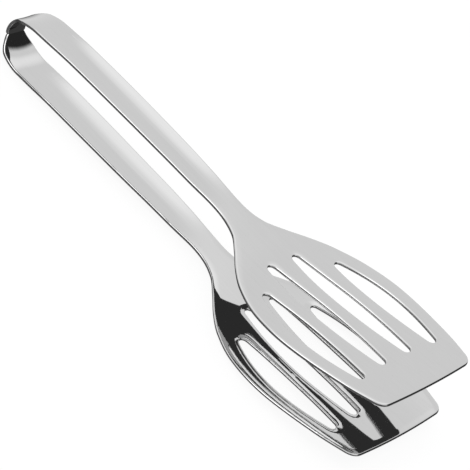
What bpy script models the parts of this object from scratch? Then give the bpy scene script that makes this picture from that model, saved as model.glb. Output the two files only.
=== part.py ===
"""Slotted serving tongs: two sheet steel stampings butt joined at the waist of a spring bow.

Each half is drawn as a flat blank, pierced with its four slots, bent along its side
profile and then given the thickness of the sheet, in the order in which a press makes it.

Frame: +Z up, lying on its lower half, blades at +X, bow at -X, origin at the middle of
the footprint. Lengths are in metres.
"""
import math

import bmesh
import bpy
from mathutils import Vector

MM = 0.001
OBJECT_NAME = "serving_tongs"

# Overall sizes
OVERALL_LENGTH = 240.0 * MM
SHEET = 1.5 * MM
EDGE_ROUND = 0.3 * MM

# Blade, measured back from its front edge
BLADE_LENGTH = 110.0 * MM
BLADE_WIDTH = 75.0 * MM
FRONT_WIDTH = 57.4 * MM
FRONT_CROWN = 0.6 * MM
CORNER_RADIUS = 6.0 * MM
NECK_WIDTH = 13.9 * MM

# Arm and bow
UPPER_ARM_WIDTH = 17.3 * MM
LOWER_ARM_WIDTH = 18.7 * MM
BOW_DEPTH = 16.4 * MM
BOW_HEIGHT = 22.3 * MM
BOW_TILT = math.radians(3.7)
WAIST_WIDTH = 10.8 * MM
UPPER_WAIST_LENGTH = 9.0 * MM
LOWER_WAIST_LENGTH = 0.8 * MM
WAIST_BLEND = 7.5 * MM

# Seam where the two halves meet, a little under the middle of the bow
SEAM_ANGLE = math.radians(14.0)
SEAM_GAP = 0.3 * MM
SEAM_NOTCH = 0.8 * MM

# Side profile: the gap between the sheets at the neck, the flat that the tongs lie on there,
# and where and how far each blade turns up
NECK_GAP = 21.9 * MM
REST_FLAT = 8.0 * MM
UPPER_BEND_START = 91.0 * MM
UPPER_BEND_LENGTH = 32.0 * MM
UPPER_BEND_ANGLE = math.radians(7.8)
UPPER_SETBACK = 1.8 * MM
LOWER_BEND_START = 69.0 * MM
LOWER_BEND_LENGTH = 29.0 * MM
LOWER_BEND_ANGLE = math.radians(6.4)

# Set of the arms against their plain curve: place along the arm, and how much of it is reached
UPPER_ARM_SET = 0.67 * MM
UPPER_SET_SHARES = (
    (0.00, 0.00),
    (0.08, -0.15),
    (0.34, 0.00),
    (0.60, 0.55),
    (0.73, 0.80),
    (0.83, 1.00),
    (0.89, 0.75),
    (0.955, 0.15),
    (1.00, 0.00),
)
LOWER_ARM_SET = 1.3 * MM
LOWER_SET_SHARES = (
    (0.00, 0.00),
    (0.08, -0.35),
    (0.26, -0.45),
    (0.43, -0.15),
    (0.57, 0.45),
    (0.68, 0.85),
    (0.74, 1.00),
    (0.80, 0.65),
    (0.86, 0.10),
    (0.90, 0.00),
    (1.00, 0.00),
)

# Slots: how far back from the front edge they end and how long they are. The offsets from
# the middle, the swells and the tips' radius are shares of half the blade's width.
SLOT_TIP_SHARE = 0.06
OUTER_SLOT_END = 15.7 * MM
OUTER_SLOT_LENGTH = 53.0 * MM
OUTER_END_OFFSET_SHARE = 0.627
OUTER_START_OFFSET_SHARE = 0.611
OUTER_OUTWARD_SHARE = 0.124
OUTER_INWARD_SHARE = 0.043
OUTER_SKEW_SHARE = 0.30
INNER_SLOT_END = 17.1 * MM
INNER_SLOT_LENGTH = 62.5 * MM
INNER_END_OFFSET_SHARE = 0.216
INNER_START_OFFSET_SHARE = 0.208
INNER_OUTWARD_SHARE = 0.064
INNER_INWARD_SHARE = 0.061
INNER_SKEW_SHARE = 0.05

# Outline of the blade between the front corner and the neck:
# place back along the blade, and half width as a share of the widest half width
BLADE_OUTLINE_SHARES = (
    (0.16, 0.901),
    (0.40, 1.000),
    (0.565, 0.949),
    (0.687, 0.798),
    (0.765, 0.627),
    (0.835, 0.431),
    (0.905, 0.262),
)
# Outline of the arm between the neck and the bow:
# place along the arm, and how much of the widening from neck to arm is reached
ARM_OUTLINE_SHARES = (
    (0.16, 0.42),
    (0.36, 0.75),
    (0.70, 1.00),
    (1.00, 0.80),
)

# Points closer than this share of the sheet are one point
WELD_SHARE = 0.0007

# Fineness of the outline and of the bends
BOW_STEPS = 14
ARM_STEPS = 16
BLADE_STEPS = 30
CORNER_STEPS = 5
SLOT_STEPS = 14
TIP_STEPS = 5
PROFILE_STEPS = 900

# The tilted bow just touches the back of the box and the surface that the tongs lie on
BOW_CENTRE_X = (
    SHEET / 2 - OVERALL_LENGTH / 2
    + math.hypot(BOW_DEPTH * math.cos(BOW_TILT), BOW_HEIGHT / 2 * math.sin(BOW_TILT))
)
BOW_CENTRE_Z = SHEET / 2 + math.hypot(BOW_DEPTH * math.sin(BOW_TILT), BOW_HEIGHT / 2 * math.cos(BOW_TILT))
FRONT_X = OVERALL_LENGTH / 2


def clear_scene():
    for old in list(bpy.data.objects):
        bpy.data.objects.remove(old, do_unlink=True)


def smooth_through(knots, place):
    """Read a smooth curve through (place, value) knots at one place."""
    last = len(knots) - 1
    index = next((i for i in range(last) if place <= knots[i + 1][0]), last - 1)

    def slope(i):
        before, after = knots[max(i - 1, 0)], knots[min(i + 1, last)]
        return (after[1] - before[1]) / (after[0] - before[0])

    (start, low), (end, high) = knots[index], knots[index + 1]
    span = end - start
    t = min(max((place - start) / span, 0.0), 1.0)
    return (
        (2 * t**3 - 3 * t**2 + 1) * low
        + (t**3 - 2 * t**2 + t) * span * slope(index)
        + (3 * t**2 - 2 * t**3) * high
        + (t**3 - t**2) * span * slope(index + 1)
    )


def bow_point(angle):
    """A point of the tilted half ellipse: angle zero at its back, a right angle at its top."""
    back = -BOW_DEPTH * math.cos(angle)
    up = BOW_HEIGHT / 2 * math.sin(angle)
    return (
        BOW_CENTRE_X + back * math.cos(BOW_TILT) - up * math.sin(BOW_TILT),
        BOW_CENTRE_Z + back * math.sin(BOW_TILT) + up * math.cos(BOW_TILT),
    )


def arm_height(x, start, neck_z, shape):
    """Height of the sheet's middle past the bow: a crowned arm, a flat, a bend and a flat blade."""
    bend_start, bend_length, bend_angle, arm_set, set_shares = shape
    bend_x = FRONT_X - bend_start
    run = bend_x - REST_FLAT - start[0]
    t = min((x - start[0]) / run, 1.0)
    height = start[1] + (neck_z - start[1]) * t * t * (3 - 2 * t)
    height += math.tan(BOW_TILT) * run * t * (1 - t) ** 2
    height += arm_set * smooth_through(set_shares, t)
    bent = min(max(x - bend_x, 0.0), bend_length)
    straight = max(x - bend_x - bend_length, 0.0)
    return height + math.tan(bend_angle) * (bent * bent / (2 * bend_length) + straight)


def side_profile(side, neck_z, shape):
    """Points of the sheet's middle from the seam round the bow to past the front edge."""
    points = []
    for step in range(PROFILE_STEPS + 1):
        angle = -SEAM_ANGLE + (side * math.pi / 2 + SEAM_ANGLE) * step / PROFILE_STEPS
        points.append(bow_point(angle))
    start = points[-1]
    reach = FRONT_X + SHEET - start[0]
    for step in range(1, PROFILE_STEPS + 1):
        x = start[0] + reach * step / PROFILE_STEPS
        points.append((x, arm_height(x, start, neck_z, shape)))
    lengths = [0.0]
    for (x0, z0), (x1, z1) in zip(points, points[1:]):
        lengths.append(lengths[-1] + math.hypot(x1 - x0, z1 - z0))
    return points, lengths


def between(places, values, place):
    """Straight interpolation, for reading along a profile."""
    last = len(places) - 2
    low, high = 0, last
    while low < high:
        middle = (low + high + 1) // 2
        if places[middle] <= place:
            low = middle
        else:
            high = middle - 1
    span = places[low + 1] - places[low]
    t = (place - places[low]) / span
    return values[low] + (values[low + 1] - values[low]) * t


def width_knots(blank_length, waist_length, arm_width):
    """Half widths along the blank, measured back from the front edge."""
    half_blade = BLADE_WIDTH / 2
    half_neck = NECK_WIDTH / 2
    widening = (arm_width - NECK_WIDTH) / 2
    arm_end = blank_length - waist_length - WAIST_BLEND
    knots = [(0.0, FRONT_WIDTH / 2)]
    knots += [(along * BLADE_LENGTH, share * half_blade) for along, share in BLADE_OUTLINE_SHARES]
    knots.append((BLADE_LENGTH, half_neck))
    for along, share in ARM_OUTLINE_SHARES:
        knots.append((BLADE_LENGTH + (arm_end - BLADE_LENGTH) * along, half_neck + widening * share))
    knots.append((blank_length - waist_length, WAIST_WIDTH / 2))
    knots.append((blank_length, WAIST_WIDTH / 2))
    return knots


def stations(blank_length, bow_length):
    """Places along the blank where its outline has a point and where it can bend."""
    bow_start = blank_length - bow_length
    places = [CORNER_RADIUS + (BLADE_LENGTH - CORNER_RADIUS) * i / BLADE_STEPS for i in range(BLADE_STEPS)]
    places += [BLADE_LENGTH + (bow_start - BLADE_LENGTH) * i / ARM_STEPS for i in range(ARM_STEPS)]
    bow_end = blank_length - SEAM_NOTCH
    places += [bow_start + (bow_end - bow_start) * i / BOW_STEPS for i in range(BOW_STEPS + 1)]
    return places


def half_outline(knots, blank_length, places):
    """One side of the flat blank, from the front edge's middle to the seam's middle."""
    # the corner is a fillet between the front edge and the sloping side
    slope = math.atan2(smooth_through(knots, 2 * CORNER_RADIUS) - knots[0][1], 2 * CORNER_RADIUS)
    centre_x = CORNER_RADIUS + FRONT_CROWN
    centre_y = knots[0][1] + centre_x * math.tan(slope) - CORNER_RADIUS / math.cos(slope)
    outline = []
    front_steps = CORNER_STEPS + 1
    for step in range(1, front_steps):
        y = centre_y * step / front_steps
        outline.append((FRONT_CROWN * (y / centre_y) ** 2, y))
    for step in range(CORNER_STEPS + 1):
        angle = (math.pi / 2 - slope) * step / CORNER_STEPS
        outline.append((
            centre_x - CORNER_RADIUS * math.cos(angle),
            centre_y + CORNER_RADIUS * math.sin(angle),
        ))
    outline += [(place, smooth_through(knots, place)) for place in places[1:]]
    seam_end = blank_length - SEAM_GAP / 2
    outline.append((seam_end, WAIST_WIDTH / 2 - SEAM_NOTCH))
    return outline


def slot_outline(side, end, length, offset_shares, swell_shares, skew_share):
    """A pointed lens, fuller towards the neck, grown by the tip radius into a closed loop."""
    half_blade = BLADE_WIDTH / 2
    tip_radius = half_blade * SLOT_TIP_SHARE
    end_offset, start_offset = (half_blade * share for share in offset_shares)
    outward, inward = (half_blade * share for share in swell_shares)
    first = end + tip_radius
    span = length - 2 * tip_radius

    def edge_point(t, bulge):
        swell = 4 * t * (1 - t) * (1 + skew_share * (t - 0.5))
        return Vector((first + span * t, end_offset + (start_offset - end_offset) * t + bulge * swell))

    def facing(t, bulge):
        step = 1 / PROFILE_STEPS
        run = edge_point(t + step, bulge) - edge_point(t - step, bulge)
        out = Vector((-run.y, run.x)).normalized()
        return math.atan2(out.y, out.x) if bulge > 0 else math.atan2(-out.y, -out.x)

    loop = []

    def add(centre, angle):
        x = centre.x + tip_radius * math.cos(angle)
        loop.append((x, side * (centre.y + tip_radius * math.sin(angle))))

    # the outward edge towards the neck, the tip there, and the inward edge back
    for bulge, ends in ((outward, (0, 1)), (-inward, (1, 0))):
        for step in range(SLOT_STEPS + 1):
            t = ends[0] + (ends[1] - ends[0]) * step / SLOT_STEPS
            add(edge_point(t, bulge), facing(t, bulge))
        leave = facing(ends[1], bulge)
        meet = facing(ends[1], -inward if bulge > 0 else outward)
        turn = (meet - leave) % (-2 * math.pi)
        for step in range(1, TIP_STEPS):
            add(edge_point(ends[1], 0.0), leave + turn * step / TIP_STEPS)
    return loop


def blade_slots():
    outer = (
        OUTER_SLOT_END, OUTER_SLOT_LENGTH, (OUTER_END_OFFSET_SHARE, OUTER_START_OFFSET_SHARE),
        (OUTER_OUTWARD_SHARE, OUTER_INWARD_SHARE), OUTER_SKEW_SHARE,
    )
    inner = (
        INNER_SLOT_END, INNER_SLOT_LENGTH, (INNER_END_OFFSET_SHARE, INNER_START_OFFSET_SHARE),
        (INNER_OUTWARD_SHARE, INNER_INWARD_SHARE), INNER_SKEW_SHARE,
    )
    return [slot_outline(side, *shape) for shape in (outer, inner) for side in (-1, 1)]


def flat_blank(name, outline, holes):
    """Fill a flat outline with its holes and return it as a mesh."""
    curve = bpy.data.curves.new(name + "_blank", "CURVE")
    curve.dimensions = "2D"
    curve.fill_mode = "BOTH"
    for loop in [outline] + holes:
        spline = curve.splines.new("POLY")
        spline.points.add(len(loop) - 1)
        spline.use_cyclic_u = True
        for point, (x, y) in zip(spline.points, loop):
            point.co = (x, y, 0.0, 1.0)
    drawn = bpy.data.objects.new(name + "_blank", curve)
    bpy.context.scene.collection.objects.link(drawn)
    bpy.context.view_layer.update()
    mesh = bpy.data.meshes.new_from_object(drawn.evaluated_get(bpy.context.evaluated_depsgraph_get()))
    bpy.data.objects.remove(drawn, do_unlink=True)
    bpy.data.curves.remove(curve)
    return mesh


def crease_across(mesh, places):
    """Cut the blank straight across at each bend place, then join the fill's triangles."""
    work = bmesh.new()
    work.from_mesh(mesh)
    weld = SHEET * WELD_SHARE
    bmesh.ops.remove_doubles(work, verts=work.verts, dist=weld)
    for place in places:
        geometry = work.verts[:] + work.edges[:] + work.faces[:]
        cut = bmesh.ops.bisect_plane(
            work, geom=geometry, dist=weld, plane_co=(place, 0.0, 0.0), plane_no=(1.0, 0.0, 0.0)
        )
        for piece in cut["geom_cut"]:
            if isinstance(piece, bmesh.types.BMEdge):
                piece.seam = True
    bmesh.ops.dissolve_limit(
        work, angle_limit=math.radians(1.0), verts=work.verts, edges=work.edges, delimit={"SEAM"}
    )
    work.to_mesh(mesh)
    work.free()


def bend_sheet(mesh, blank_length, profile, axis):
    """Lay the flat blank along its side profile, around the joint axis as origin."""
    points, lengths = profile
    xs = [point[0] for point in points]
    zs = [point[1] for point in points]
    for vertex in mesh.vertices:
        along = blank_length - vertex.co.x
        x = between(lengths, xs, along)
        z = between(lengths, zs, along)
        vertex.co = (x - axis[0], vertex.co.y, z - axis[2])


def steel(name):
    material = bpy.data.materials.new(name)
    material.use_nodes = True
    shader = material.node_tree.nodes["Principled BSDF"]
    shader.inputs["Base Color"].default_value = (0.66, 0.66, 0.65, 1.0)
    shader.inputs["Metallic"].default_value = 1.0
    shader.inputs["Roughness"].default_value = 0.18
    return material


def tong_half(name, collection, side, setback, waist_length, arm_width, neck_z, shape):
    """One stamping: arm, pierced blade and its half of the bow."""
    profile = side_profile(side, neck_z, shape)
    points, lengths = profile
    xs = [point[0] for point in points]
    zs = [point[1] for point in points]
    # x grows all the way from the seam once past the back of the bow
    back = xs.index(min(xs))
    blank_length = between(xs[back:], lengths[back:], FRONT_X - setback)
    bow_length = lengths[PROFILE_STEPS]
    places = stations(blank_length, bow_length)
    one_side = half_outline(width_knots(blank_length, waist_length, arm_width), blank_length, places)
    outline = one_side + [(x, -y) for x, y in reversed(one_side)]
    outline.append((0.0, 0.0))
    mesh = flat_blank(name, outline, blade_slots())
    crease_across(mesh, places)
    axis = (xs[0], 0.0, zs[0])
    bend_sheet(mesh, blank_length, profile, axis)
    mesh.name = name
    half = bpy.data.objects.new(name, mesh)
    half.location = axis
    collection.objects.link(half)
    mesh.materials.append(steel(name + "_steel"))

    thickness = half.modifiers.new("sheet", "SOLIDIFY")
    thickness.thickness = SHEET
    thickness.offset = 0.0
    thickness.use_even_offset = True
    rounding = half.modifiers.new("rolled_edges", "BEVEL")
    rounding.width = EDGE_ROUND
    rounding.segments = 1
    rounding.limit_method = "ANGLE"
    rounding.angle_limit = math.radians(50.0)
    mesh.shade_smooth()
    mesh.set_sharp_from_angle(angle=math.radians(35.0))
    return half


def main():
    clear_scene()
    collection = bpy.data.collections.new(OBJECT_NAME)
    bpy.context.scene.collection.children.link(collection)
    lower_z = SHEET / 2
    upper_z = lower_z + SHEET + NECK_GAP
    lower_shape = (LOWER_BEND_START, LOWER_BEND_LENGTH, LOWER_BEND_ANGLE, LOWER_ARM_SET, LOWER_SET_SHARES)
    upper_shape = (UPPER_BEND_START, UPPER_BEND_LENGTH, UPPER_BEND_ANGLE, UPPER_ARM_SET, UPPER_SET_SHARES)
    tong_half(
        "lower_half", collection, side=-1, setback=0.0, waist_length=LOWER_WAIST_LENGTH,
        arm_width=LOWER_ARM_WIDTH, neck_z=lower_z, shape=lower_shape,
    )
    tong_half(
        "upper_half", collection, side=1, setback=UPPER_SETBACK, waist_length=UPPER_WAIST_LENGTH,
        arm_width=UPPER_ARM_WIDTH, neck_z=upper_z, shape=upper_shape,
    )


main()
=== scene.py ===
# %% [markdown]
# # Slotted serving tongs of polished steel
# These tongs are two stampings of thin steel sheet. Each one is a blade, an arm and half of the
# spring bow, and the two are welded edge to edge at the waist of the bow. Nothing else is on
# them, so the whole look comes from three things: an exact shape, an edge that is rounded as
# tumbled steel is, and a bright metal surface with something light and something dark to mirror.

import math

import bpy
import numpy as np
from mathutils import Matrix, Vector


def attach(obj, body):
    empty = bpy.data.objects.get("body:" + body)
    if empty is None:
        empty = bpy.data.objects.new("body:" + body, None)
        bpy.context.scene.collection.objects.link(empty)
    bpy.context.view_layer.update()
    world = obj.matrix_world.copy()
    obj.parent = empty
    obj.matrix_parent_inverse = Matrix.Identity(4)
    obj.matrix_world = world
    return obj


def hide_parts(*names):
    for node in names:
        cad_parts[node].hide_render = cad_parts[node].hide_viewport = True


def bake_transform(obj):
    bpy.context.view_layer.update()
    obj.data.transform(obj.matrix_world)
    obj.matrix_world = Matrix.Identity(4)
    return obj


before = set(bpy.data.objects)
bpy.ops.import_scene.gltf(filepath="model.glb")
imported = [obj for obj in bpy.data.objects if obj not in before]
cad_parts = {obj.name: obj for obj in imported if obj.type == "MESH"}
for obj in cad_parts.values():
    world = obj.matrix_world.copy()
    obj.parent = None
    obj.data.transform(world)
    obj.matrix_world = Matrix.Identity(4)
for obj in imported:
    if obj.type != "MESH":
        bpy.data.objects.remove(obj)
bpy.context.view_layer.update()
bpy.ops.object.select_all(action="DESELECT")

# %% [markdown]
# ## Sizes
# Every length is in metres, and is named once in the cell that first needs it. The lengths are
# those of the solid model, so that the finer surface made here lies on it: the outline of the
# blank, its slots, and the side profile that it is bent along. The overall length and the width
# are a hair less, so that the rounder surface stays inside the solid one's box.

# %% Main sizes
MM = 0.001
OVERALL_LENGTH = 239.9 * MM
SHEET = 1.5 * MM
FRONT_X = OVERALL_LENGTH / 2
print("length and sheet, in millimetres:", round(OVERALL_LENGTH / MM, 1), round(SHEET / MM, 1))

# %% [markdown]
# ## Camera
# The picture was taken with a long lens from above and from the blades' near side, and the
# camera was rolled so that the tongs run from corner to corner. A camera looks along its own
# -Z axis, so it is first turned to look at the aim point and then rolled about that line. A
# Track To constraint could aim it as well, but it would undo the roll.

# %% Camera
CAMERA_AIM = Vector((13.45 * MM, 6.21 * MM, 12.0 * MM))
CAMERA_DISTANCE = 947.8 * MM
CAMERA_AZIMUTH = math.radians(24.45)
CAMERA_ELEVATION = math.radians(36.64)
CAMERA_ROLL = math.radians(30.73)
CAMERA_LENS = 180.86
CAMERA_SENSOR = 36.0

towards_camera = Vector((
    math.sin(CAMERA_AZIMUTH) * math.cos(CAMERA_ELEVATION),
    -math.cos(CAMERA_AZIMUTH) * math.cos(CAMERA_ELEVATION),
    math.sin(CAMERA_ELEVATION),
))
camera_data = bpy.data.cameras.new("camera")
camera_data.lens = CAMERA_LENS
camera_data.sensor_width = CAMERA_SENSOR
camera = bpy.data.objects.new("camera", camera_data)
bpy.context.scene.collection.objects.link(camera)
upright = towards_camera.to_track_quat("Z", "Y").to_matrix().to_4x4()
camera.matrix_world = (
    Matrix.Translation(CAMERA_AIM + towards_camera * CAMERA_DISTANCE)
    @ upright
    @ Matrix.Rotation(CAMERA_ROLL, 4, "Z")
)
bpy.context.scene.camera = camera
print("camera at", [round(v, 4) for v in camera.matrix_world.translation])

# %% [markdown]
# ## A short way to write node trees
# Nodes can be placed by hand in the shader editor, but shader maths reads best as ordinary sums.
# The class below wraps one socket of a node tree, and Python's operators on it add the Math
# nodes. Every other kind of node comes from its add method, which makes the node's settings
# first and then fills its sockets.

# %% Sockets that can be added and multiplied
class Wire:
    """One value in a node tree, or the start of the tree when it has no socket yet."""

    def __init__(self, tree, socket=None):
        self.tree = tree
        self.socket = socket

    def add(self, kind, settings=None, sockets=None, output=0):
        node = self.tree.nodes.new(kind)
        for name, value in (settings or {}).items():
            setattr(node, name, value)
        for name, value in (sockets or {}).items():
            if isinstance(value, Wire):
                self.tree.links.new(value.socket, node.inputs[name])
            else:
                node.inputs[name].default_value = value
        return Wire(self.tree, None if output is None else node.outputs[output])

    def math(self, operation, first, second):
        return self.add("ShaderNodeMath", {"operation": operation}, {0: first, 1: second})

    def __add__(self, other):
        return self.math("ADD", self, other)

    def __radd__(self, other):
        return self.math("ADD", other, self)

    def __sub__(self, other):
        return self.math("SUBTRACT", self, other)

    def __rsub__(self, other):
        return self.math("SUBTRACT", other, self)

    def __mul__(self, other):
        return self.math("MULTIPLY", self, other)

    def __rmul__(self, other):
        return self.math("MULTIPLY", other, self)

    def soft_step(self, low, high):
        """Zero below low, one above high, and a soft rise between them."""
        sockets = {"Value": self, "From Min": low, "From Max": high}
        return self.add("ShaderNodeMapRange", {"interpolation_type": "SMOOTHSTEP"}, sockets)

    def towards(self, direction):
        """How nearly this direction points along another one: the cosine between them."""
        sockets = {0: self, 1: direction}
        return self.add("ShaderNodeVectorMath", {"operation": "DOT_PRODUCT"}, sockets, "Value")

# %% [markdown]
# ## Studio
# Bright metal shows its surroundings and little else. The mirrored world is a white tent, a
# little brighter high up beyond the arms, with a dark card low down beyond the blades and another
# along the near side. The floor is dark too, and grows light only far off beyond the bow. The
# camera sees none of it: for it there is only a white ground, with a trace of shadow.
#
# The cards could be planes that stand round the tongs, as in a real studio. A world that goes by
# direction alone was chosen because every tone and every border then has a number of its own,
# nothing gets into the picture from another side, and no card throws a shadow.

# %% A soft patch of the surroundings
def direction(azimuth, elevation):
    """The unit vector that points at an azimuth, from +Y towards +X, and an elevation."""
    azimuth, elevation = math.radians(azimuth), math.radians(elevation)
    level = math.cos(elevation)
    return math.sin(azimuth) * level, math.cos(azimuth) * level, math.sin(elevation)


def patch(outward, azimuth, elevation, outer, inner):
    """One within the inner angle round a direction, and zero past the outer one, in degrees."""
    nearness = outward.towards(direction(azimuth, elevation))
    return nearness.soft_step(math.cos(math.radians(outer)), math.cos(math.radians(inner)))


print("straight up is the direction", [round(part, 3) for part in direction(0.0, 90.0)])

# %% Tones and places of the mirrored surroundings
TENT_SIDE = 0.96
TENT_BRIGHT = 0.34
STRIP_LIGHT = 2.2
CARD_DARK = 0.97
NEAR_DARK = 0.9
FLOOR_DARK = 0.06
NEAR_FLOOR = 0.08

# Azimuth, elevation, and the angles where each patch ends and where it is full
BRIGHT_PATCH = (-40.0, 62.0, 29.0, 18.0)
STRIP = (-150.0, 50.0, 22.0, 8.0)
FAR_CARD = (40.0, 14.0, 39.0, 26.0)
NEAR_SIDE = (-172.0, 0.0, 84.0, 66.0)
BEYOND_BOW = (-42.0, 0.0, 70.0, 40.0)

# Heights in the mirrored world run from -1 straight down to 1 straight up
NEAR_CARD_TOP = (0.20, 0.36)
HORIZON_LOW = -0.06
HORIZON_HIGH = 0.02
BOW_SIDE_LIFT = 0.5
BOW_SIDE_SPREAD = 0.46
print("side of the tent, floor and far card:", TENT_SIDE, FLOOR_DARK, round(1.0 - CARD_DARK, 2))

# %% Hang the mirrored surroundings round the tongs
world = bpy.data.worlds.new("studio")
bpy.context.scene.world = world
world.use_nodes = True
world.node_tree.nodes.clear()
start = Wire(world.node_tree)
outward = start.add("ShaderNodeTexCoord", output="Generated")
height = start.add("ShaderNodeSeparateXYZ", sockets={"Vector": outward}, output="Z")
tent = TENT_SIDE + TENT_BRIGHT * patch(outward, *BRIGHT_PATCH)
near_side = patch(outward, *NEAR_SIDE)
near_card = near_side * (1.0 - height.soft_step(*NEAR_CARD_TOP))
tent = tent * (1.0 - CARD_DARK * patch(outward, *FAR_CARD)) * (1.0 - NEAR_DARK * near_card)
tent = tent + STRIP_LIGHT * patch(outward, *STRIP)
beyond_bow = patch(outward, *BEYOND_BOW)
lifted = height + BOW_SIDE_LIFT * beyond_bow
above = lifted.soft_step(HORIZON_LOW, BOW_SIDE_SPREAD * beyond_bow + HORIZON_HIGH)
floor = FLOOR_DARK + NEAR_FLOOR * near_side
mirrored_world = floor + above * (tent - floor)
mirrored = start.add("ShaderNodeLightPath", output="Is Glossy Ray")
strength = 1.0 + mirrored * (mirrored_world - 1.0)
background = start.add(
    "ShaderNodeBackground", sockets={"Color": (1.0, 1.0, 1.0, 1.0), "Strength": strength}
)
start.add("ShaderNodeOutputWorld", sockets={"Surface": background}, output=None)
print("the mirrored surroundings use", len(world.node_tree.nodes), "nodes")

# %% The white ground
GROUND_SIZE = 3.0
GROUND_DROP = 0.6 * MM
GROUND_COLOUR = (0.85, 0.85, 0.85, 1.0)
GROUND_ROUGHNESS = 0.9
SHADOW_SHARE = 0.10
GROUND_GLOW = 1.02

bpy.ops.mesh.primitive_plane_add(size=GROUND_SIZE, location=(0.0, 0.0, -GROUND_DROP))
ground = bpy.context.active_object
ground.name = "ground"
ground_finish = bpy.data.materials.new("white_ground")
ground_finish.use_nodes = True
ground.data.materials.append(ground_finish)
ground.visible_glossy = False
start = Wire(ground_finish.node_tree)
pale = start.tree.nodes["Principled BSDF"]
pale.inputs["Base Color"].default_value = GROUND_COLOUR
pale.inputs["Roughness"].default_value = GROUND_ROUGHNESS
pale.inputs["Specular IOR Level"].default_value = 0.0
white = start.add("ShaderNodeEmission", sockets={"Strength": GROUND_GLOW})
share = start.add("ShaderNodeLightPath", output="Is Camera Ray") * (1.0 - SHADOW_SHARE)
mixed = start.add(
    "ShaderNodeMixShader", sockets={0: share, 1: Wire(start.tree, pale.outputs[0]), 2: white}
)
start.tree.links.new(mixed.socket, start.tree.nodes["Material Output"].inputs["Surface"])
print("the ground lies", round(GROUND_DROP / MM, 2), "mm under the tongs")

# %% The soft lamp overhead
LAMP_SIZE = 0.8
LAMP_PLACE = (-0.2, 0.2, 1.2)
LAMP_POWER = 4.0

lamp_data = bpy.data.lights.new("soft_lamp", "AREA")
lamp_data.shape = "SQUARE"
lamp_data.size = LAMP_SIZE
lamp_data.energy = LAMP_POWER
lamp = bpy.data.objects.new("soft_lamp", lamp_data)
lamp.location = LAMP_PLACE
lamp.rotation_euler = (-lamp.location).to_track_quat("-Z", "Y").to_euler()
bpy.context.scene.collection.objects.link(lamp)
lamp.visible_camera = False
lamp.visible_glossy = False
bpy.ops.object.select_all(action="DESELECT")
print("the lamp hangs at", [round(part, 2) for part in lamp.location])

# %% [markdown]
# ## Polished steel
# The sheet is stainless steel, polished bright but not to a perfect mirror: the fine lines of
# the polishing belt run along the arms, and the surface is very slightly wavy. A picture of
# scratches could give the lines, but a noise needs no file and never repeats, so the belt lines
# are a noise that is stretched along the tongs and changes the roughness. The waves are a broad
# noise in a weak bump.

# %% Polished steel
STEEL = (0.62, 0.62, 0.62, 1.0)
STEEL_DULL = (0.585, 0.585, 0.585, 1.0)
BELT_ACROSS = 900.0
BELT_ALONG = 30.0
BELT_DETAIL = 3.0
ROUGHNESS_LOW = 0.015
ROUGHNESS_RANGE = 0.02
WAVE_SCALE = 55.0
WAVE_DEPTH = 0.02 * MM
WAVE_STRENGTH = 0.1


def polished_steel(name):
    material = bpy.data.materials.new(name)
    material.use_nodes = True
    start = Wire(material.node_tree)
    shader = start.tree.nodes["Principled BSDF"]
    shader.inputs["Metallic"].default_value = 1.0
    place = start.add("ShaderNodeTexCoord", output="Object")
    stretch = {"Vector": place, "Scale": (BELT_ALONG, BELT_ACROSS, BELT_ACROSS)}
    stretched = start.add("ShaderNodeMapping", sockets=stretch)
    belt = start.add(
        "ShaderNodeTexNoise", sockets={"Vector": stretched, "Scale": 1.0, "Detail": BELT_DETAIL}
    )
    waves = start.add(
        "ShaderNodeTexNoise", sockets={"Vector": place, "Scale": WAVE_SCALE, "Detail": 1.0}
    )
    # the Mix node keeps one set of sockets for each kind of data, and the colours come last
    tones = {0: belt, 6: STEEL, 7: STEEL_DULL}
    colour = start.add("ShaderNodeMix", {"data_type": "RGBA"}, tones, 2)
    start.tree.links.new(colour.socket, shader.inputs["Base Color"])
    roughness = ROUGHNESS_LOW + ROUGHNESS_RANGE * belt
    start.tree.links.new(roughness.socket, shader.inputs["Roughness"])
    wavy = {"Strength": WAVE_STRENGTH, "Distance": WAVE_DEPTH, "Height": waves}
    bump = start.add("ShaderNodeBump", sockets=wavy)
    start.tree.links.new(bump.socket, shader.inputs["Normal"])
    return material


steel = polished_steel("polished_steel")
print("the steel's roughness runs from", ROUGHNESS_LOW, "to", ROUGHNESS_LOW + ROUGHNESS_RANGE)

# %% [markdown]
# ## The outline of the blank
# A stamping begins as a flat blank. Its outline could be drawn by hand as a curve with handles.
# Here it is read from a few knots with a smooth curve between them, back from the front edge to
# the seam, because the knots are shares of the blade and the arm and so follow their sizes.

# %% Read a smooth curve through knots
def smooth_through(knots, place):
    """Read a smooth curve through (place, value) knots at one place."""
    last = len(knots) - 1
    index = next((i for i in range(last) if place <= knots[i + 1][0]), last - 1)

    def slope(i):
        before, after = knots[max(i - 1, 0)], knots[min(i + 1, last)]
        return (after[1] - before[1]) / (after[0] - before[0])

    (start, low), (end, high) = knots[index], knots[index + 1]
    span = end - start
    t = min(max((place - start) / span, 0.0), 1.0)
    return (
        (2 * t**3 - 3 * t**2 + 1) * low
        + (t**3 - 2 * t**2 + t) * span * slope(index)
        + (3 * t**2 - 2 * t**3) * high
        + (t**3 - t**2) * span * slope(index + 1)
    )


print("halfway up a straight line:", smooth_through([(0.0, 0.0), (1.0, 1.0)], 0.5))

# %% Half widths along the blank
BLADE_LENGTH = 110.0 * MM
BLADE_WIDTH = 74.9 * MM
FRONT_WIDTH = 57.4 * MM
NECK_WIDTH = 13.9 * MM
WAIST_WIDTH = 10.8 * MM
WAIST_BLEND = 7.5 * MM

# Places back from the blade's front edge, and half widths there, as shares of the blade's sizes
BLADE_OUTLINE_SHARES = (
    (0.16, 0.901),
    (0.40, 1.000),
    (0.565, 0.949),
    (0.687, 0.798),
    (0.765, 0.627),
    (0.835, 0.431),
    (0.905, 0.262),
)
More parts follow.
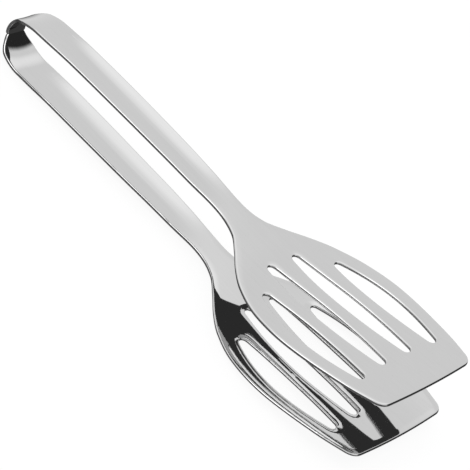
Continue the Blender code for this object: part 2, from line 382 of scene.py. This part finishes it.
# Places from the neck to the waist, and how much of the widening to the full arm is reached
ARM_OUTLINE_SHARES = (
    (0.16, 0.42),
    (0.36, 0.75),
    (0.70, 1.00),
    (1.00, 0.80),
)


def width_knots(blank_length, waist_length, arm_width):
    """Half widths along the blank, measured back from the front edge."""
    half_neck = NECK_WIDTH / 2
    widening = (arm_width - NECK_WIDTH) / 2
    arm_end = blank_length - waist_length - WAIST_BLEND
    knots = [(0.0, FRONT_WIDTH / 2)]
    for along, share in BLADE_OUTLINE_SHARES:
        knots.append((along * BLADE_LENGTH, share * BLADE_WIDTH / 2))
    knots.append((BLADE_LENGTH, half_neck))
    for along, share in ARM_OUTLINE_SHARES:
        place = BLADE_LENGTH + (arm_end - BLADE_LENGTH) * along
        knots.append((place, half_neck + widening * share))
    knots.append((blank_length - waist_length, WAIST_WIDTH / 2))
    knots.append((blank_length, WAIST_WIDTH / 2))
    return knots


print("blade, in millimetres:", round(BLADE_LENGTH / MM, 1), "by", round(BLADE_WIDTH / MM, 1))

# %% Outline of the blank
CORNER_RADIUS = 6.0 * MM
FRONT_CROWN = 0.6 * MM
SEAM_OVERLAP = 0.33 * MM
OUTLINE_STEP = 1.0 * MM
CORNER_STEPS = 12


def blank_outline(knots, blank_length):
    """One closed loop round the flat blank, x measured back from the front edge."""
    # the corner is a fillet between the front edge and the sloping side
    slope = math.atan2(smooth_through(knots, 2 * CORNER_RADIUS) - knots[0][1], 2 * CORNER_RADIUS)
    centre_x = CORNER_RADIUS + FRONT_CROWN
    centre_y = knots[0][1] + centre_x * math.tan(slope) - CORNER_RADIUS / math.cos(slope)
    side = []
    front_steps = 2 * CORNER_STEPS
    for step in range(1, front_steps):
        y = centre_y * step / front_steps
        side.append((FRONT_CROWN * (y / centre_y) ** 2, y))
    for step in range(CORNER_STEPS + 1):
        angle = (math.pi / 2 - slope) * step / CORNER_STEPS
        x = centre_x - CORNER_RADIUS * math.cos(angle)
        side.append((x, centre_y + CORNER_RADIUS * math.sin(angle)))
    side_start = side[-1][0]
    end = blank_length + SEAM_OVERLAP
    steps = round((end - side_start) / OUTLINE_STEP)
    for step in range(1, steps):
        place = side_start + (end - side_start) * step / steps
        side.append((place, smooth_through(knots, place)))
    side.append((blank_length + SEAM_OVERLAP, WAIST_WIDTH / 2))
    return side + [(x, -y) for x, y in reversed(side)] + [(0.0, 0.0)]


print("the front corners are rounded by", round(CORNER_RADIUS / MM, 1), "mm")

# %% [markdown]
# ## The slots
# Each blade has four slots for draining, and each slot is a pointed lens that is fuller towards
# the neck. A Boolean could cut them, but it leaves untidy faces beside each cut, so they are
# drawn as loops that become holes in the blank's own curve. The lens is grown by the radius of
# the punch's tip, which gives it round ends.

# %% Sizes of the slots
# The offsets from the middle, the swells and the tips' radius are shares of half the blade's width
SLOT_TIP_SHARE = 0.06
OUTER_SLOT = {
    "end": 15.7 * MM, "length": 53.0 * MM, "end_offset": 0.627, "start_offset": 0.611,
    "outward": 0.124, "inward": 0.043, "skew": 0.30,
}
INNER_SLOT = {
    "end": 17.1 * MM, "length": 62.5 * MM, "end_offset": 0.216, "start_offset": 0.208,
    "outward": 0.064, "inward": 0.061, "skew": 0.05,
}
for slot_name, slot in (("outer", OUTER_SLOT), ("inner", INNER_SLOT)):
    print("each", slot_name, "slot is", round(slot["length"] / MM, 1), "mm long")

# %% Outline of a slot
SLOT_STEPS = 44
TIP_STEPS = 9
SLOPE_NUDGE = 0.001


def slot_outline(side, end, length, end_offset, start_offset, outward, inward, skew):
    half_blade = BLADE_WIDTH / 2
    tip_radius = half_blade * SLOT_TIP_SHARE
    first = end + tip_radius
    span = length - 2 * tip_radius

    def edge_point(t, bulge):
        swell = 4 * t * (1 - t) * (1 + skew * (t - 0.5))
        offset = end_offset + (start_offset - end_offset) * t + bulge * swell
        return Vector((first + span * t, half_blade * offset))

    def facing(t, bulge):
        run = edge_point(t + SLOPE_NUDGE, bulge) - edge_point(t - SLOPE_NUDGE, bulge)
        return math.atan2(run.x, -run.y) if bulge > 0 else math.atan2(-run.x, run.y)

    loop = []

    def add(centre, angle):
        x = centre.x + tip_radius * math.cos(angle)
        loop.append((x, side * (centre.y + tip_radius * math.sin(angle))))

    for bulge, ends in ((outward, (0, 1)), (-inward, (1, 0))):
        for step in range(SLOT_STEPS + 1):
            t = ends[0] + (ends[1] - ends[0]) * step / SLOT_STEPS
            add(edge_point(t, bulge), facing(t, bulge))
        leave = facing(ends[1], bulge)
        meet = facing(ends[1], -inward if bulge > 0 else outward)
        turn = (meet - leave) % (-2 * math.pi)
        for step in range(1, TIP_STEPS):
            add(edge_point(ends[1], 0.0), leave + turn * step / TIP_STEPS)
    return loop


print("the outline of a slot has", len(slot_outline(1, **OUTER_SLOT)), "points")

# %% [markdown]
# ## The side profile
# Seen from the side, the middle of the sheet runs from the seam round half of the tilted bow,
# along the slightly crowned arm, over a short flat and up the blade. A curve with handles could
# follow this line too. It is worked out as a row of points instead, because the length of sheet
# up to each point is needed: that length ties the bent sheet to the flat blank.

# %% The bow
BOW_DEPTH = 16.4 * MM
BOW_HEIGHT = 22.3 * MM
BOW_TILT = math.radians(3.7)
SEAM_ANGLE = math.radians(14.0)
BOW_CENTRE_X = (
    SHEET / 2 - OVERALL_LENGTH / 2
    + math.hypot(BOW_DEPTH * math.cos(BOW_TILT), BOW_HEIGHT / 2 * math.sin(BOW_TILT))
)
BOW_CENTRE_Z = (
    SHEET / 2
    + math.hypot(BOW_DEPTH * math.sin(BOW_TILT), BOW_HEIGHT / 2 * math.cos(BOW_TILT))
)


def bow_point(angle):
    """A point of the tilted half ellipse: angle zero at its back, a right angle at its top."""
    back = -BOW_DEPTH * math.cos(angle)
    up = BOW_HEIGHT / 2 * math.sin(angle)
    return (
        BOW_CENTRE_X + back * math.cos(BOW_TILT) - up * math.sin(BOW_TILT),
        BOW_CENTRE_Z + back * math.sin(BOW_TILT) + up * math.cos(BOW_TILT),
    )


print("middle of the bow, in mm:", [round(v / MM, 2) for v in (BOW_CENTRE_X, BOW_CENTRE_Z)])
print("the seam, in mm:", [round(v / MM, 2) for v in bow_point(-SEAM_ANGLE)])

# %% The arm and the blade
REST_FLAT = 8.0 * MM
# The necks stand a little to the far side: so much of the set is sideways instead of upwards.
# For the camera, this much sideways moves an arm as far off its line as one upwards does.
SIDEWAYS_SHARE = 0.7
SIDEWAYS_GAIN = 1.224


def arm_point(x, start, neck_z, shape):
    """Height of the sheet's middle past the bow, and how far it stands to the far side."""
    bend_start, bend_length, bend_angle, arm_set, set_shares = shape
    bend_x = FRONT_X - bend_start
    run = bend_x - REST_FLAT - start[0]
    t = min((x - start[0]) / run, 1.0)
    height = start[1] + (neck_z - start[1]) * t * t * (3 - 2 * t)
    height += math.tan(BOW_TILT) * run * t * (1 - t) ** 2
    rise = arm_set * smooth_through(set_shares, t)
    height += rise * (1.0 - SIDEWAYS_SHARE)
    bent = min(max(x - bend_x, 0.0), bend_length)
    straight = max(x - bend_x - bend_length, 0.0)
    height += math.tan(bend_angle) * (bent * bent / (2 * bend_length) + straight)
    return height, rise * SIDEWAYS_SHARE * SIDEWAYS_GAIN


print("the flat that the tongs rest on is", round(REST_FLAT / MM, 1), "mm long")

# %% The whole side profile
PROFILE_STEPS = 2400


def side_profile(side, neck_z, shape):
    """Points (x, z, sideways) of the sheet's middle from the seam on, and the length up to each."""
    points = []
    for step in range(PROFILE_STEPS + 1):
        angle = -SEAM_ANGLE + (side * math.pi / 2 + SEAM_ANGLE) * step / PROFILE_STEPS
        points.append((*bow_point(angle), 0.0))
    start = points[-1]
    reach = FRONT_X + SHEET - start[0]
    for step in range(1, PROFILE_STEPS + 1):
        x = start[0] + reach * step / PROFILE_STEPS
        points.append((x, *arm_point(x, start, neck_z, shape)))
    points = np.array(points)
    lengths = np.concatenate(([0.0], np.cumsum(np.hypot(*np.diff(points[:, :2], axis=0).T))))
    return points, lengths


print("a side profile has", 2 * PROFILE_STEPS + 1, "points")

# %% [markdown]
# ## Drawing the flat plate
# The real edge is not one plain round: tumbling rolls the face down softly over a few
# millimetres, and only its last half millimetre turns over. Solidify and a Bevel modifier could
# round a plate that already has its slots. A flat curve with a bevel was chosen because it makes
# the plate with its slots in one step, and rows of points that follow every edge. The bevel is
# drawn as wide as the soft roll and far too high, and each row gets its true height when the
# plate is bent, so one bevel makes both the roll and the small round edge.

# %% Draw the plate
ROLL_WIDTH = 3.2 * MM
ROLL_STEPS = 10
WALL = 0.14 * MM
SAME_POINT = 0.002 * MM
SAME_FACE_ANGLE = math.radians(0.02)


def flat_plate(name, loops):
    """A plate of the sheet's thickness with rounded edges, drawn by its loops."""
    curve = bpy.data.curves.new(name, "CURVE")
    curve.dimensions = "2D"
    curve.fill_mode = "BOTH"
    curve.extrude = WALL / 2
    curve.bevel_depth = ROLL_WIDTH
    curve.bevel_resolution = ROLL_STEPS - 1
    curve.offset = -ROLL_WIDTH
    for index, loop in enumerate(loops):
        turn = sum(a[0] * b[1] - b[0] * a[1] for a, b in zip(loop, loop[1:] + loop[:1]))
        # the outline runs one way round and the slots the other, so that all edges round outwards
        if (turn > 0) == (index == 0):
            loop = loop[::-1]
        spline = curve.splines.new("POLY")
        spline.points.add(len(loop) - 1)
        spline.use_cyclic_u = True
        for point, (x, y) in zip(spline.points, loop):
            point.co = (x, y, 0.0, 1.0)
    plate = bpy.data.objects.new(name, curve)
    bpy.context.scene.collection.objects.link(plate)
    bpy.context.view_layer.objects.active = plate
    plate.select_set(True)
    bpy.ops.object.convert(target="MESH")
    bpy.ops.object.mode_set(mode="EDIT")
    bpy.ops.mesh.select_all(action="SELECT")
    bpy.ops.mesh.remove_doubles(threshold=SAME_POINT)
    bpy.ops.mesh.dissolve_limited(angle_limit=SAME_FACE_ANGLE)
    bpy.ops.object.mode_set(mode="OBJECT")
    return plate


print("the soft roll takes", ROLL_STEPS, "rows over", round(ROLL_WIDTH / MM, 1), "mm")

# %% [markdown]
# ## Cutting it across
# A plate bends only where it has rows of points. Subdividing would cut it everywhere and spoil
# the rows that follow its edges, so the bisect operator cuts it at chosen places: most closely
# round the bow, wider apart along the arm, and lengthwise where it becomes a shallow dish.

# %% Cut the plate
BOW_CUT = 0.7 * MM
ARM_CUT = 2.5 * MM
BEND_CUT = 2.0 * MM
BLADE_CUT = 2.0 * MM
DISH_CUTS = 6


def spaced(start, end, step):
    count = max(1, round((end - start) / step))
    return [start + (end - start) * i / count for i in range(count)]


def cut_plate(plate, cuts):
    """Bisect the whole plate at each (place, axis) pair."""
    bpy.ops.object.mode_set(mode="EDIT")
    for place, axis in cuts:
        bpy.ops.mesh.select_all(action="SELECT")
        bpy.ops.mesh.bisect(
            plane_co=(place, 0.0, 0.0) if axis == "X" else (0.0, place, 0.0),
            plane_no=(1.0, 0.0, 0.0) if axis == "X" else (0.0, 1.0, 0.0),
            threshold=SAME_POINT,
        )
    bpy.ops.object.mode_set(mode="OBJECT")


print("the bow is cut every", round(BOW_CUT / MM, 1), "mm, an arm every", round(ARM_CUT / MM, 1))

# %% Where the plate is cut
def cut_places(blank_length, bow_length, bend_place, bend_length, arm_width, blade_dish):
    """All the cuts of one plate as (place, axis) pairs."""
    front = CORNER_RADIUS if blade_dish else bend_place - bend_length - REST_FLAT
    cuts = spaced(front, bend_place + REST_FLAT, BEND_CUT)
    cuts += spaced(bend_place + REST_FLAT, blank_length - bow_length, ARM_CUT)
    cuts += spaced(blank_length - bow_length, blank_length - SHEET, BOW_CUT)
    across = [i * arm_width / 2 / DISH_CUTS for i in range(1 - DISH_CUTS, DISH_CUTS)]
    if blade_dish:
        wide = spaced(arm_width / 2, BLADE_WIDTH / 2, BLADE_CUT)
        across += [tong_side * place for tong_side in (-1, 1) for place in wide]
    return [(place, "X") for place in cuts] + [(place, "Y") for place in across]


# %% [markdown]
# ## Bending the plate
# A press bends the real blank and hardly stretches it. The Simple Deform modifier bends along a
# circle only, so every point is moved in code, from its place along the flat blank to the same
# place along the side profile. Across the sheet it gets what the press and the tumbling drum
# leave: faces that roll softly towards every edge, arms and a lower blade that are shallow
# dishes, and a bow whose middle stands a little inwards.

# %% A soft rise between two places
def ramp(value, low, high):
    t = np.clip((value - low) / (high - low), 0.0, 1.0)
    return t * t * (3 - 2 * t)


print("a soft rise from 0 to 1, at a quarter of the way:", float(ramp(0.25, 0.0, 1.0)))

# %% Faces that roll towards their edges
EDGE_ROUND = 0.5 * MM
ARM_ROLL = 0.02 * MM
UPPER_BLADE_ROLL = 0.10 * MM
LOWER_BLADE_ROLL = 0.32 * MM
UNDERSIDE_ROLL = 0.3
ROLL_FROM = (5.0 * MM, 45.0 * MM)


def face_heights(drawn):
    """Height of the rounded face over the sheet's middle, and how much of the roll it has."""
    turns = np.arange(ROLL_STEPS + 1) * math.pi / 2 / ROLL_STEPS
    levels = WALL / 2 + ROLL_WIDTH * np.sin(turns)
    inset = ROLL_WIDTH * (1.0 - np.cos(turns))
    short = np.clip(EDGE_ROUND - inset, 0.0, EDGE_ROUND)
    heights = SHEET / 2 - EDGE_ROUND + np.sqrt(EDGE_ROUND**2 - short**2)
    rolled = (1.0 - inset / ROLL_WIDTH) ** 2
    return np.interp(drawn, levels, heights), np.interp(drawn, levels, rolled)


def rolled_faces(x, drawn, blade_roll):
    """Height over the sheet's middle: above it on the upper face, below it on the lower one."""
    height, rolled = face_heights(np.abs(drawn))
    roll = ARM_ROLL + (blade_roll - ARM_ROLL) * ramp(x, *ROLL_FROM)
    return np.where(drawn > 0.0, height - roll * rolled, UNDERSIDE_ROLL * roll * rolled - height)


print("roll of the arms, in millimetres:", round(ARM_ROLL / MM, 2))

# %% Dish of an arm
# It runs from the bow to just before the neck, and deepens and fades out between these places
DISH = 0.6 * MM
DISH_FROM = (-109.0 * MM, -82.0 * MM)
DISH_TO = (-25.0 * MM, 10.0 * MM)


def arm_dish(x, across, run_x, arm_width):
    """Rise of the sheet towards the arm's sides."""
    dished = ramp(x, *DISH_FROM) * (1.0 - ramp(x, *DISH_TO)) * (run_x > 0.0)
    return DISH * dished * (across / (arm_width / 2)) ** 2


print("the arms are dished by", round(DISH / MM, 2), "mm")

# %% Saddle of the bow
SADDLE = 0.25 * MM
SADDLE_HALF_WIDTH = 6.0 * MM
SADDLE_TO = (-117.0 * MM, -108.0 * MM)


def bow_saddle(x, across):
    """How far the bow's middle stands inwards of its edges."""
    return SADDLE * (1.0 - ramp(x, *SADDLE_TO)) * (1.0 - (across / SADDLE_HALF_WIDTH) ** 2)


print("the bow's middle stands", round(SADDLE / MM, 2), "mm inwards")

# %% Dish of the lower blade
# Its sides rise, and its middle sinks a little further forwards
BLADE_DISH = 1.1 * MM
BLADE_DISH_LEVEL = 0.31
BLADE_DISH_FROM = (38.0 * MM, 74.0 * MM)
BLADE_SINK_FROM = (53.0 * MM, 86.0 * MM)


def blade_rise(x, across):
    """Rise of the blade's sides over its middle, as a share of the dish."""
    raised = ramp(x, *BLADE_DISH_FROM) * (across / (BLADE_WIDTH / 2)) ** 2
    return raised - BLADE_DISH_LEVEL * ramp(x, *BLADE_SINK_FROM)


print("the lower blade is dished by", round(BLADE_DISH / MM, 2), "mm")

# %% Bend the plate
SEAM_NOTCH = 0.8 * MM


def bend_plate(plate, side, blank_length, profile, arm_width, blade_dish, blade_roll):
    """Move every point from the flat blank to the side profile."""
    points, lengths = profile
    flat = np.empty(len(plate.data.vertices) * 3)
    plate.data.vertices.foreach_get("co", flat)
    back, across, drawn = flat.reshape(-1, 3).T
    along = blank_length - back
    x, z, sideways = (np.interp(along, lengths, column) for column in points.T)
    run = np.gradient(points[:, :2], lengths, axis=0)
    run /= np.linalg.norm(run, axis=1)[:, None]
    run_x, run_z = (np.interp(along, lengths, column) for column in run.T)
    lift = rolled_faces(x, drawn, blade_roll)
    lift += arm_dish(x, across, run_x, arm_width)
    lift -= side * bow_saddle(x, across)
    lift += blade_dish * blade_rise(x, across)
    # the near and far corners of the seam are nicked
    notched = np.clip((back - blank_length + SEAM_NOTCH) / SEAM_NOTCH, 0.0, 1.0)
    y = across * (1.0 - notched * SEAM_NOTCH / (WAIST_WIDTH / 2)) + sideways
    bent = np.stack([x - run_z * lift, y, z + run_x * lift], axis=1)
    plate.data.vertices.foreach_set("co", bent.ravel())
    plate.data.update()


# %% [markdown]
# ## Shading a stamping
# Plain smooth shading tilts the light on a flat face that has a rounded edge beside it, and a
# mirror shows that at once. More rows of faces would hide it. Weighted normals were chosen
# because they cost no faces: the large flat faces decide, and the narrow rows of the edge follow.

# %% Finish a stamping
SMOOTH_ANGLE = math.radians(40.0)


def finish_stamping(piece, material):
    """Smooth shading that keeps the flats flat beside their rounded edges."""
    bpy.ops.object.select_all(action="DESELECT")
    bpy.context.view_layer.objects.active = piece
    piece.select_set(True)
    bpy.ops.object.mode_set(mode="EDIT")
    bpy.ops.mesh.select_all(action="SELECT")
    bpy.ops.mesh.normals_make_consistent(inside=False)
    bpy.ops.object.mode_set(mode="OBJECT")
    bpy.ops.object.shade_smooth_by_angle(angle=SMOOTH_ANGLE)
    bpy.ops.object.modifier_add(type="WEIGHTED_NORMAL")
    weighted = piece.modifiers[-1]
    weighted.keep_sharp = True
    bpy.ops.object.modifier_apply(modifier=weighted.name)
    piece.data.materials.clear()
    piece.data.materials.append(material)
    piece.select_set(False)


# %% [markdown]
# ## The two stampings
# Both are drawn, cut, bent and shaded in the same way. The upper one could be a mirrored copy of
# the lower one, but the real halves differ: the lower arm is wider, its blade is the one that is
# dished, the bends lie at other places, and most of the bow's narrow waist is on the upper half.

# %% Make a whole stamping
def stamping(name, side, setback, waist_length, arm_width, blade_dish, blade_roll, neck_z, shape):
    points, lengths = side_profile(side, neck_z, shape)
    arm = slice(PROFILE_STEPS, None)
    blank_length = float(np.interp(FRONT_X - setback, points[arm, 0], lengths[arm]))
    bow_length = float(lengths[PROFILE_STEPS])
    loops = [blank_outline(width_knots(blank_length, waist_length, arm_width), blank_length)]
    for slot in (OUTER_SLOT, INNER_SLOT):
        loops += [slot_outline(tong_side, **slot) for tong_side in (-1, 1)]
    plate = flat_plate(name, loops)
    bend_place, bend_length = shape[0] - setback, shape[1]
    cut_plate(
        plate,
        cut_places(blank_length, bow_length, bend_place, bend_length, arm_width, blade_dish),
    )
    bend_plate(plate, side, blank_length, (points, lengths), arm_width, blade_dish, blade_roll)
    finish_stamping(plate, steel)
    print(name, "has", len(plate.data.polygons), "faces")
    print("its blank is", round(blank_length / MM, 1), "mm long")
    return plate


# %% The lower stamping
LOWER_WAIST_LENGTH = 0.8 * MM
LOWER_ARM_WIDTH = 18.7 * MM
LOWER_BEND_START = 69.0 * MM
LOWER_BEND_LENGTH = 29.0 * MM
LOWER_BEND_ANGLE = math.radians(6.4)

# Set of the arm against its plain curve: place along the arm, and how much of it is reached
LOWER_ARM_SET = 1.3 * MM
LOWER_SET_SHARES = (
    (0.00, 0.00),
    (0.08, -0.35),
    (0.26, -0.45),
    (0.43, -0.15),
    (0.57, 0.45),
    (0.68, 0.85),
    (0.74, 1.00),
    (0.80, 0.65),
    (0.86, 0.10),
    (0.90, 0.00),
    (1.00, 0.00),
)

lower_z = SHEET / 2
lower_stamping = stamping(
    "lower_stamping", -1, 0.0, LOWER_WAIST_LENGTH, LOWER_ARM_WIDTH, BLADE_DISH, LOWER_BLADE_ROLL,
    lower_z,
    (LOWER_BEND_START, LOWER_BEND_LENGTH, LOWER_BEND_ANGLE, LOWER_ARM_SET, LOWER_SET_SHARES),
)

# %% The upper stamping
NECK_GAP = 21.9 * MM
UPPER_SETBACK = 1.8 * MM
UPPER_WAIST_LENGTH = 9.0 * MM
UPPER_ARM_WIDTH = 17.3 * MM
UPPER_BEND_START = 91.0 * MM
UPPER_BEND_LENGTH = 32.0 * MM
UPPER_BEND_ANGLE = math.radians(7.8)
UPPER_ARM_SET = 0.67 * MM
UPPER_SET_SHARES = (
    (0.00, 0.00),
    (0.08, -0.15),
    (0.34, 0.00),
    (0.60, 0.55),
    (0.73, 0.80),
    (0.83, 1.00),
    (0.89, 0.75),
    (0.955, 0.15),
    (1.00, 0.00),
)

upper_z = lower_z + SHEET + NECK_GAP
upper_stamping = stamping(
    "upper_stamping", 1, UPPER_SETBACK, UPPER_WAIST_LENGTH, UPPER_ARM_WIDTH, 0.0, UPPER_BLADE_ROLL,
    upper_z,
    (UPPER_BEND_START, UPPER_BEND_LENGTH, UPPER_BEND_ANGLE, UPPER_ARM_SET, UPPER_SET_SHARES),
)

# %% [markdown]
# ## Fitting the pieces to the frame
# The lower stamping moves with its body. The upper one rides on no body: its place is baked into
# its points. On the real tongs only the bow bends, as a spring does, between the seam and where the
# arm begins.

# %% The lower stamping rides on its body
BOW_TOP_Z = BOW_CENTRE_Z + BOW_HEIGHT / 2 - SHEET
seam_z = bow_point(-SEAM_ANGLE)[1]

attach(lower_stamping, "lower")
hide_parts("lower_half")
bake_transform(upper_stamping)
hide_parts("upper_half")
print("the upper bow bends between the heights", round(seam_z / MM, 1), round(BOW_TOP_Z / MM, 1))

# %% [markdown]
# ## The colour view
# The colours are shown as they are written, without a film look.

# %% Show the colours as written
bpy.context.scene.view_settings.view_transform = "Standard"
